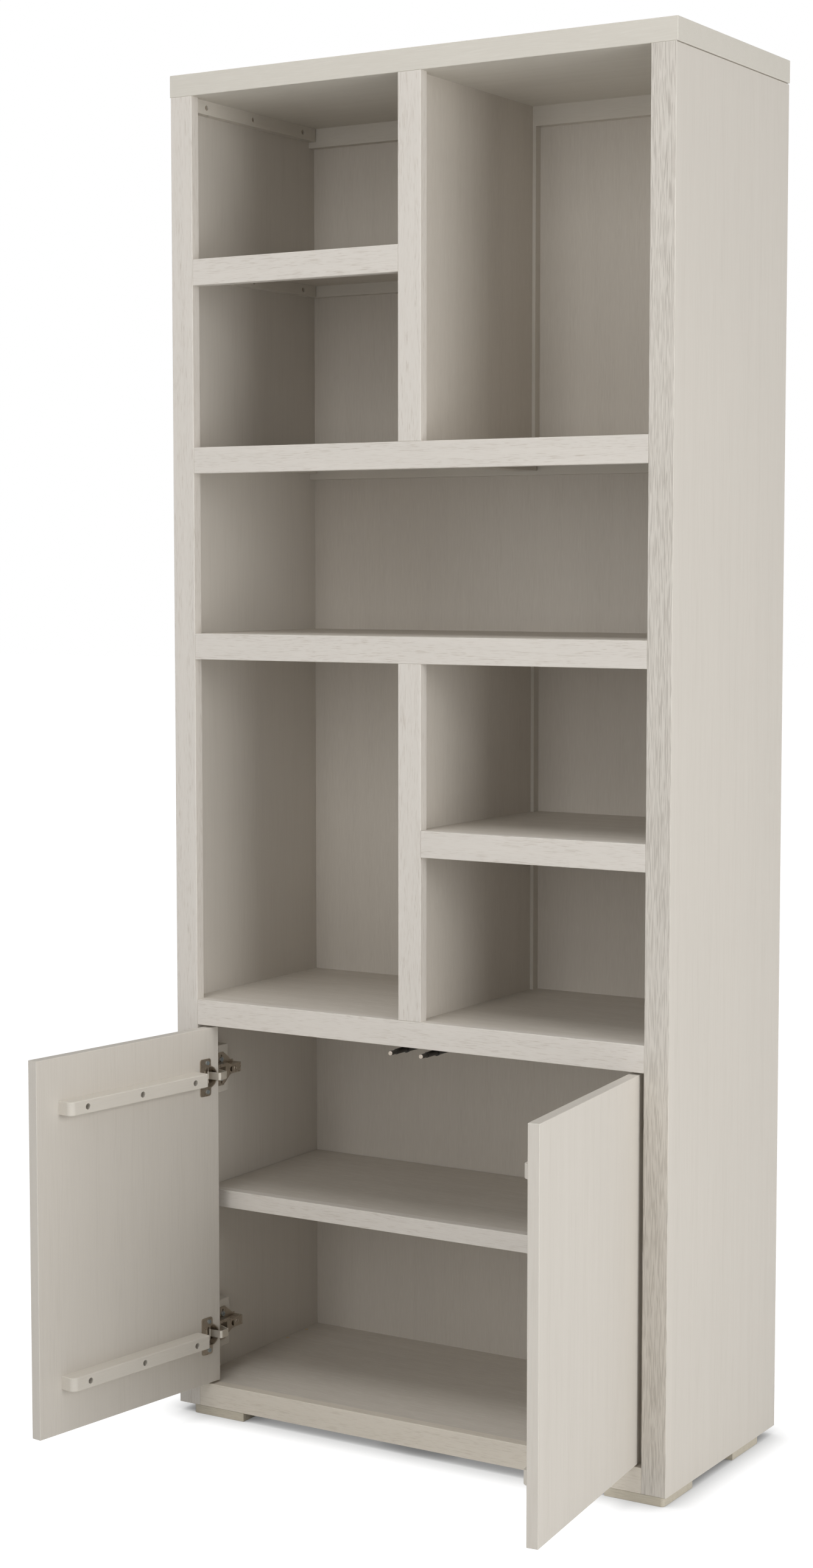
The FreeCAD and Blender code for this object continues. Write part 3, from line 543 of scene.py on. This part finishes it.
@dataclass
class Carcass:
    """The sides, stiles, top, back, bottom, base rail and feet."""

    veneered: tuple[str, ...] = ("side_panel_left", "side_panel_right")
    plug_radius_mm: float = 3.2
    plug_rise_mm: float = 0.5
    plug_sink_mm: float = 0.2
    plug_dome_shares: tuple[tuple[float, float], ...] = ((1.0, 0.4), (0.8, 0.8), (0.4, 1.0), (0.0, 1.0))
    plug_depths_mm: tuple[float, ...] = (276.0, 336.0)

    def build(self) -> None:
        """Set the filler plugs where the bottom panel meets the left side."""
        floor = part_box("bottom_panel")[1].z
        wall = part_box("side_panel_left")[1].x
        radius, rise, foot = self.plug_radius_mm, self.plug_rise_mm, -self.plug_sink_mm
        places = [
            Matrix.Translation((wall + 2 * radius * MM, depth * MM, floor)) for depth in self.plug_depths_mm
        ]
        dome = [(wide * radius, high * rise) for wide, high in self.plug_dome_shares]
        turned_piece(
            "bottom_filler_plugs", [(0.0, foot), (radius, foot), *dome],
            places, "carcass", FILLER.make())

    def dress(self) -> None:
        """Dress the boards with the grain the way each was cut."""
        dress(self.veneered, SANDED_VENEER.make(Grain.UPRIGHT))
        dress(["front_stile_left"], BRUSHED_EDGE.make(Grain.UPRIGHT))
        dress(["front_stile_right"], BRUSHED_STILE.make(Grain.UPRIGHT))
        dress(["top_board"], LIMED_TOP.make(Grain.ACROSS))
        dress(["back_panel"], INNER_VENEER.make(Grain.UPRIGHT))
        dress(["bottom_panel"], LIMED_SHELF.make(Grain.ACROSS))
        # The rail's warmer colours are painted bounce light from the floor.
        dress(["bottom_rail"], PAINTED_BOUNCE_RAIL.make(Grain.ACROSS))
        dress(["base_bearers"], SPRAYED_POPLAR.make(Grain.ACROSS))
        dress(["feet"], WORN_FOOT.make(Grain.ACROSS))


@dataclass
class OpenShelves:
    """The five fixed shelves and the top, with the cleats and screws that hold them."""

    shelves: tuple[str, ...] = (
        "upper_half_shelf", "upper_full_shelf", "middle_shelf", "lower_half_shelf", "cabinet_top")

    def dress(self) -> None:
        """Dress panels, front lippings, cleats and screws."""
        dress([f"{name}_panel" for name in self.shelves], LIMED_SHELF.make(Grain.ACROSS))
        dress([f"{name}_lipping" for name in self.shelves], BRUSHED_EDGE.make(Grain.ACROSS))
        dress([f"{name}_cleats" for name in self.shelves], SPRAYED_POPLAR.make(Grain.DEPTH))
        dress(["top_side_cleats"], SPRAYED_POPLAR.make(Grain.DEPTH))
        dress(["top_back_cleat"], SPRAYED_POPLAR.make(Grain.ACROSS))
        dress(["cleat_screws"], SPRAYED_STEEL.make())


@dataclass
class Dividers:
    """The two upright dividers, each a front stile, a panel and a post at the back."""

    names: tuple[str, ...] = ("upper_divider", "lower_divider")

    def dress(self) -> None:
        """Dress stiles, panels and posts with upright grain."""
        dress([f"{name}_stile" for name in self.names], BRUSHED_EDGE.make(Grain.UPRIGHT))
        dress([f"{name}_panel" for name in self.names], INNER_VENEER.make(Grain.UPRIGHT))
        dress([f"{name}_post" for name in self.names], SPRAYED_POPLAR.make(Grain.UPRIGHT))


@dataclass
class CabinetShelf:
    """The loose shelf behind the doors and the pins it lies on."""

    def dress(self) -> None:
        """Dress the shelf, its lipping and its pins."""
        dress(["cabinet_shelf_panel"], LIMED_SHELF.make(Grain.ACROSS))
        dress(["cabinet_shelf_lipping"], BRUSHED_EDGE.make(Grain.ACROSS))
        dress(["shelf_pins"], ZINC_PLATE.make())


@dataclass
class Door:
    """One door with its battens, hinge cups and screws."""

    side: str
    open_turn: float

    def dress(self) -> None:
        """Dress the door, turning the batten grain back by the angle the door stands open."""
        dress([f"door_panel_{self.side}"], SANDED_VENEER.make(Grain.UPRIGHT))
        dress([f"door_battens_{self.side}"], SPRAYED_POPLAR.make(Grain.ACROSS, self.open_turn))
        dress([f"hinge_cups_{self.side}", f"hinge_cup_pins_{self.side}"], NICKEL_PLATE.make())
        dress([f"door_screws_{self.side}"], ZINC_PLATE.make())


@dataclass
class Hinges:
    """The carcass halves of the four hinges, with the blocks that carry them."""

    levels_mm: tuple[float, ...] = (138.3, 571.7)
    pin_x_mm: float = 397.0
    pin_y_mm: float = 27.75
    pin_reach_mm: float = 12.5
    rivet_radius_mm: float = 2.4
    rivet_rise_mm: float = 0.9
    rivet_sink_mm: float = 0.1
    rivet_dome_shares: tuple[tuple[float, float], ...] = ((1.0, 0.25), (0.85, 0.65), (0.5, 0.93), (0.0, 1.0))
    arm_face_mm: float = 392.5
    cam_y_mm: float = 75.25
    cam_radius_mm: float = 4.4
    cam_rise_mm: float = 0.8
    cam_sink_mm: float = 0.1
    cam_dish_mm: float = 0.1
    cam_dish_share: float = 0.55
    cam_ring_shares: tuple[tuple[float, float], ...] = ((0.62, 0.5), (0.75, 1.0), (0.9, 1.0), (1.0, 0.5))

    def build(self) -> None:
        """Set the rivet heads on the hinge pins and the cam caps over the adjusting screws."""
        radius, rise, foot = self.rivet_radius_mm, self.rivet_rise_mm, -self.rivet_sink_mm
        dome = [(wide * radius, high * rise) for wide, high in self.rivet_dome_shares]
        turned_piece(
            "hinge_rivet_heads", [(0.0, foot), (radius, foot), *dome],
            self.pin_ends(), "carcass", NICKEL_PLATE.make())
        radius, rise, dish = self.cam_radius_mm, self.cam_rise_mm, self.cam_dish_mm
        ring = [(wide * radius, high * rise) for wide, high in self.cam_ring_shares]
        turned_piece(
            "hinge_cam_caps",
            [(0.0, dish), (self.cam_dish_share * radius, dish), *ring, (radius, -self.cam_sink_mm)],
            self.cam_places(), "carcass", NICKEL_PLATE.make())

    def pin_ends(self) -> list[Matrix]:
        """Find both ends of every hinge pin.

        Returns:
            A place at each end, its axis pointing out of the pin.
        """
        places = []
        for level in self.levels_mm:
            for side in (-1, 1):
                for end in (-1, 1):
                    spot = Vector((side * self.pin_x_mm, self.pin_y_mm, level + end * self.pin_reach_mm)) * MM
                    flip = Matrix.Rotation(math.pi if end < 0 else 0.0, 4, "X")
                    places.append(Matrix.Translation(spot) @ flip)
        return places

    def cam_places(self) -> list[Matrix]:
        """Find the face of every arm at its adjusting screw.

        Returns:
            A place on each face, its axis pointing into the cabinet.
        """
        places = []
        for level in self.levels_mm:
            for side in (-1, 1):
                spot = Vector((side * self.arm_face_mm, self.cam_y_mm, level)) * MM
                places.append(Matrix.Translation(spot) @ Matrix.Rotation(-side * math.pi / 2, 4, "Y"))
        return places

    def dress(self) -> None:
        """Dress the plated parts, the screws and the wooden blocks."""
        dress(["hinge_plates", "hinge_arms", "hinge_pins"], NICKEL_PLATE.make())
        # The links' paler nickel is a painted highlight.
        dress(["hinge_links"], NICKEL_PAINTED_HIGHLIGHT.make())
        dress(["hinge_screws"], ZINC_PLATE.make())
        dress(["hinge_blocks"], SPRAYED_POPLAR.make(Grain.UPRIGHT))


@dataclass
class Latches:
    """The two push latches under the cabinet's top and the block they hang from."""

    def dress(self) -> None:
        """Dress housings, plungers, tips, screws and block."""
        dress(["latch_housings", "latch_plunger_left", "latch_plunger_right"], BLACK_ABS.make())
        dress(["latch_tip_left", "latch_tip_right"], PALE_ACETAL.make())
        dress(["latch_screws"], ZINC_PLATE.make())
        dress(["latch_block"], SPRAYED_POPLAR.make(Grain.ACROSS))


@dataclass(frozen=True)
class SoftLight:
    """One soft light, aimed at the middle of the bookcase."""

    name: str
    place_m: tuple[float, float, float]
    size_m: tuple[float, float]
    power_w: float
    aim_m: tuple[float, float, float] = (0.0, 0.0, 1.0)

    def build(self) -> None:
        """Hang the light and aim it."""
        light = bpy.data.lights.new(self.name, "AREA")
        light.shape = "RECTANGLE"
        light.size, light.size_y = self.size_m
        light.energy = self.power_w
        lamp = bpy.data.objects.new(self.name, light)
        lamp.location = self.place_m
        lamp.rotation_euler = (Vector(self.aim_m) - Vector(self.place_m)).to_track_quat("-Z", "Y").to_euler()
        bpy.context.scene.collection.objects.link(lamp)
        LOG.info("built %s", self.name)


@dataclass
class Studio:
    """The camera, the white floor and the soft light around the bookcase."""

    camera_m: tuple[float, float, float] = (2.1387, -3.51105, 1.4068)
    camera_turn: tuple[float, float, float] = (85.32498, 0.01728, 31.47482)
    lens_mm: float = 60.7346
    sensor_mm: float = 36.0
    floor_m: float = 60.0
    floor_colour: str = "#F2F2F1"
    floor_glow: float = 1.3
    floor_glow_share: float = 0.75
    # How far the painted contact shadow on the floor reaches.
    contact_shade_m: float = 0.06
    sky_light: float = 0.3
    floor_cells: int = 8
    floor_roughness: float = 0.85
    floor_gloss: float = 0.1
    contact_samples: int = 32
    lights: tuple[SoftLight, ...] = (
        SoftLight("right_soft_light", (4.2, -1.0, 1.6), (2.4, 2.6), 104.0),
        SoftLight("front_soft_light", (0.2, -4.3, 2.5), (1.8, 3.4), 50.0),
        SoftLight("left_soft_light", (-3.2, -3.4, 1.6), (1.6, 2.4), 14.0),
        SoftLight("top_soft_light", (0.0, -1.3, 5.2), (2.0, 2.0), 60.0),
    )

    def build(self) -> None:
        """Build the camera, the floor, the sky and the lights."""
        self.build_camera()
        self.build_floor()
        self.build_sky()
        for light in self.lights:
            light.build()
        bpy.context.scene.view_settings.view_transform = "Standard"

    def build_camera(self) -> None:
        """Stand the camera where the photograph was taken from."""
        camera = bpy.data.cameras.new("camera")
        camera.lens = self.lens_mm
        camera.sensor_width = self.sensor_mm
        camera.sensor_fit = "AUTO"
        camera.dof.use_dof = False
        stand = bpy.data.objects.new("camera", camera)
        stand.location = self.camera_m
        stand.rotation_euler = [math.radians(angle) for angle in self.camera_turn]
        bpy.context.scene.collection.objects.link(stand)
        bpy.context.scene.camera = stand
        LOG.info("built camera")

    def build_floor(self) -> None:
        """Lay the white floor under the feet."""
        shape = bmesh.new()
        bmesh.ops.create_grid(
            shape, x_segments=self.floor_cells, y_segments=self.floor_cells, size=self.floor_m / 2)
        mesh = bpy.data.meshes.new("floor")
        shape.to_mesh(mesh)
        shape.free()
        mesh.materials.append(self.floor_paint_and_painted_shadow())
        floor = bpy.data.objects.new("floor", mesh)
        bpy.context.scene.collection.objects.link(floor)
        LOG.info("built floor")

    def floor_paint_and_painted_shadow(self) -> bpy.types.Material:
        """Make the floor's matt white paint, with its glow and a painted contact shadow.

        Returns:
            The material, which mostly glows white where it is seen; near what stands on it the glow is dimmed
            by ambient occlusion, a painted contact shadow.
        """
        material, tree, output = new_material("studio_floor_paint_painted_shadow")
        rays = add_node(tree, "LightPath")
        share = add_node(
            tree, "Math", {"operation": "MULTIPLY"},
            {0: rays.outputs["Is Camera Ray"], 1: self.floor_glow_share})
        paint = add_node(
            tree, "BsdfPrincipled", {}, {
                "Base Color": linear(self.floor_colour), "Roughness": self.floor_roughness,
                "Specular IOR Level": self.floor_gloss,
            })
        # Ambient occlusion dims the glow near the feet and base: a painted contact shadow.
        painted_contact_shadow = add_node(
            tree, "AmbientOcclusion", {"samples": self.contact_samples}, {"Distance": self.contact_shade_m})
        strength = add_node(
            tree, "Math", {"operation": "MULTIPLY"}, {0: painted_contact_shadow.outputs["AO"], 1: self.floor_glow})
        glow = add_node(
            tree, "Emission", {}, {"Color": linear("#FFFFFF"), "Strength": strength.outputs["Value"]})
        floor = add_node(
            tree, "MixShader", {},
            {0: share.outputs["Value"], 1: paint.outputs["BSDF"], 2: glow.outputs["Emission"]})
        tree.links.new(floor.outputs["Shader"], output.inputs["Surface"])
        return material

    def build_sky(self) -> None:
        """Surround the scene with white, at full strength only where it is seen directly."""
        world = bpy.data.worlds.new("studio_sky")
        world.use_nodes = True
        tree = world.node_tree
        tree.nodes.clear()
        rays = add_node(tree, "LightPath")
        strength = add_node(
            tree, "MapRange", {},
            {"Value": rays.outputs["Is Camera Ray"], "To Min": self.sky_light, "To Max": 1.0})
        sky = add_node(
            tree, "Background", {}, {"Color": linear("#FFFFFF"), "Strength": strength.outputs["Result"]})
        output = add_node(tree, "OutputWorld")
        tree.links.new(sky.outputs["Background"], output.inputs["Surface"])
        bpy.context.scene.world = world
        LOG.info("built sky")


def main() -> None:
    """Build the studio and every sub-assembly in order."""
    logging.basicConfig(level=logging.INFO, format="%(name)s: %(message)s")
    Studio().build()
    carcass = Carcass()
    carcass.build()
    carcass.dress()
    OpenShelves().dress()
    Dividers().dress()
    CabinetShelf().dress()
    Door(side="left", open_turn=98.0).dress()
    Door(side="right", open_turn=-96.0).dress()
    hinges = Hinges()
    hinges.build()
    hinges.dress()
    Latches().dress()


if __name__ == "__main__":
    main()
